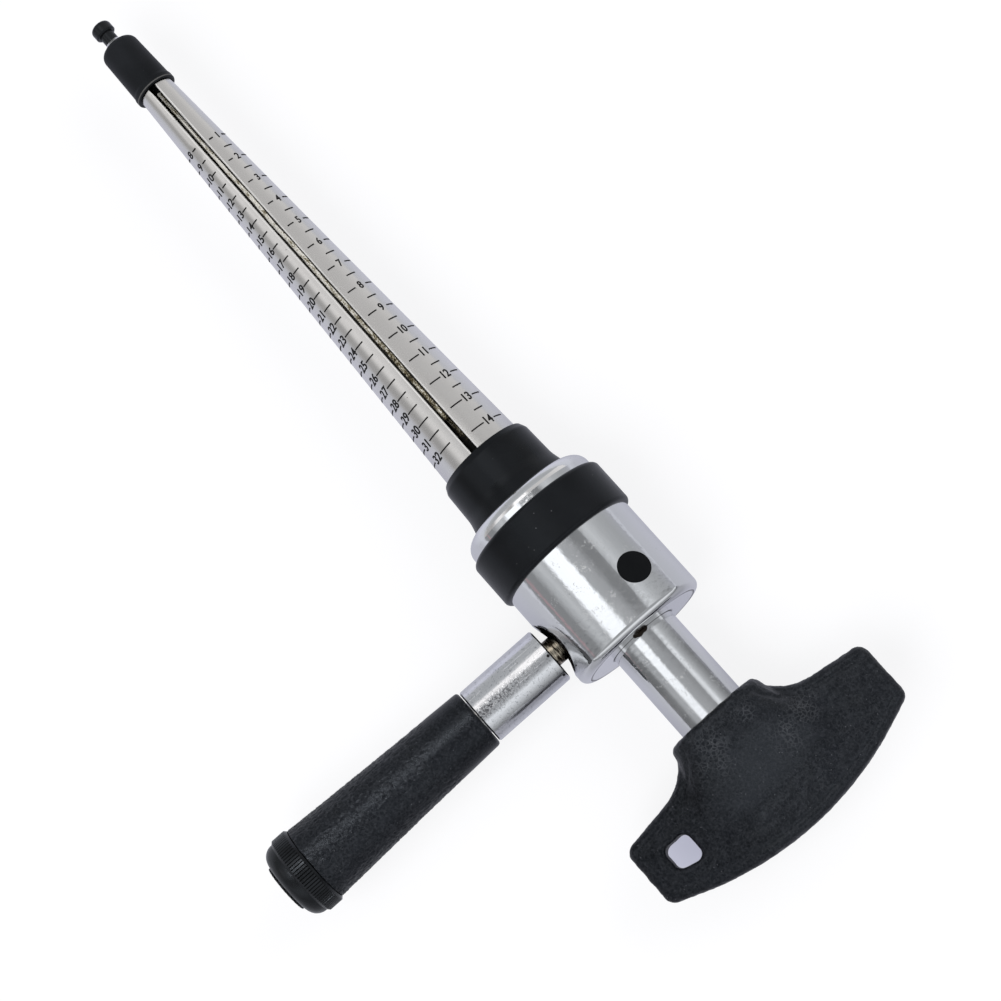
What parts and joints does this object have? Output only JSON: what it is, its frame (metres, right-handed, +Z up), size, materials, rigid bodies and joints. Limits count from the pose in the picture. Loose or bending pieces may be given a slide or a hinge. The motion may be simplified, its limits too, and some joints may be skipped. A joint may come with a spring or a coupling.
{
  "type": "ring stretcher",
  "caption": "Hand tool whose slotted, tapered mandrel is spread from inside by a screwed T-handle and a side lever to stretch finger rings.",
  "frame": {"origin": "on the tool's axis, in the plane where the mandrel leaves its collar", "axes": "+X along the tool's axis towards the mandrel's tip; +Y along the side lever; +Z up, along the lever's pivot pins"},
  "size_m": [0.2919, 0.1509, 0.042],
  "materials": {
    "chrome": "bright chrome, lightly scuffed",
    "ground_steel": "ground and polished tool steel",
    "greased_steel": "oily steel with speckled grease",
    "black_oxide": "black oxide",
    "black_plastic": "matt moulded black",
    "black_rubber": "matt rubber",
    "grained_plastic": "leather grain",
    "bronze": "turned bronze"
  },
  "bodies": {
    "housing": {"barrel": "chrome", "end_plate": "chrome", "nose_collar": "black_plastic", "grip_band": "black_rubber", "pivot_pins": "black_oxide", "tip_sleeve": "black_rubber", "tip_bush": "chrome"},
    "segment_a": {"mandrel_segment_a": "ground_steel"},
    "segment_b": {"mandrel_segment_b": "ground_steel"},
    "segment_c": {"mandrel_segment_c": "ground_steel"},
    "segment_d": {"mandrel_segment_d": "ground_steel"},
    "nut": {"thrust_nut": "bronze"},
    "wedge": {"wedge_bar": "greased_steel", "tip_screw": "chrome", "thrust_washer": "bronze"},
    "handle": {"drive_screw": "chrome", "swivel_pin": "ground_steel", "t_handle": "grained_plastic"},
    "lever": {"lever_yoke": "ground_steel", "lever_neck": "ground_steel", "lever_ferrule": "chrome", "lever_rod": "ground_steel", "lever_grip": "grained_plastic", "cap_ring": "black_plastic", "end_cap": "black_plastic", "end_disc": "black_plastic"}
  },
  "joints": [
    {"name": "lever_swing", "type": "hinge", "parent": "housing", "child": "lever", "pos_m": [-0.05075, -0.0087, 0], "axis": [0, 0, 1], "range_deg": [-6.5, 6.5]},
    {"name": "nut_slide", "type": "slide", "parent": "housing", "child": "nut", "axis": [1, 0, 0], "range_m": [-0.001, 0.001]},
    {"name": "wedge_advance", "type": "slide", "parent": "nut", "child": "wedge", "axis": [1, 0, 0], "range_m": [0, 0.012]},
    {"name": "t_handle_turn", "type": "hinge", "parent": "wedge", "child": "handle", "pos_m": [0, 0, 0], "axis": [1, 0, 0], "range_deg": [0, 2160]},
    {"name": "segment_a_spread", "type": "slide", "parent": "housing", "child": "segment_a", "axis": [0, 0.788, 0.6157], "range_m": [0, 0.000566]},
    {"name": "segment_b_spread", "type": "slide", "parent": "housing", "child": "segment_b", "axis": [0, -0.6157, 0.788], "range_m": [0, 0.000566]},
    {"name": "segment_c_spread", "type": "slide", "parent": "housing", "child": "segment_c", "axis": [0, -0.788, -0.6157], "range_m": [0, 0.000566]},
    {"name": "segment_d_spread", "type": "slide", "parent": "housing", "child": "segment_d", "axis": [0, 0.6157, -0.788], "range_m": [0, 0.000566]}
  ],
  "couplings": [
    {"joint": "nut_slide", "follows": "lever_swing", "m_per_rad": -0.0087},
    {"joint": "wedge_advance", "follows": "t_handle_turn", "m_per_rad": 0.00031831},
    {"joint": "segment_a_spread", "follows": "t_handle_turn", "m_per_rad": 0.000014996},
    {"joint": "segment_b_spread", "follows": "t_handle_turn", "m_per_rad": 0.000014996},
    {"joint": "segment_c_spread", "follows": "t_handle_turn", "m_per_rad": 0.000014996},
    {"joint": "segment_d_spread", "follows": "t_handle_turn", "m_per_rad": 0.000014996}
  ]
}
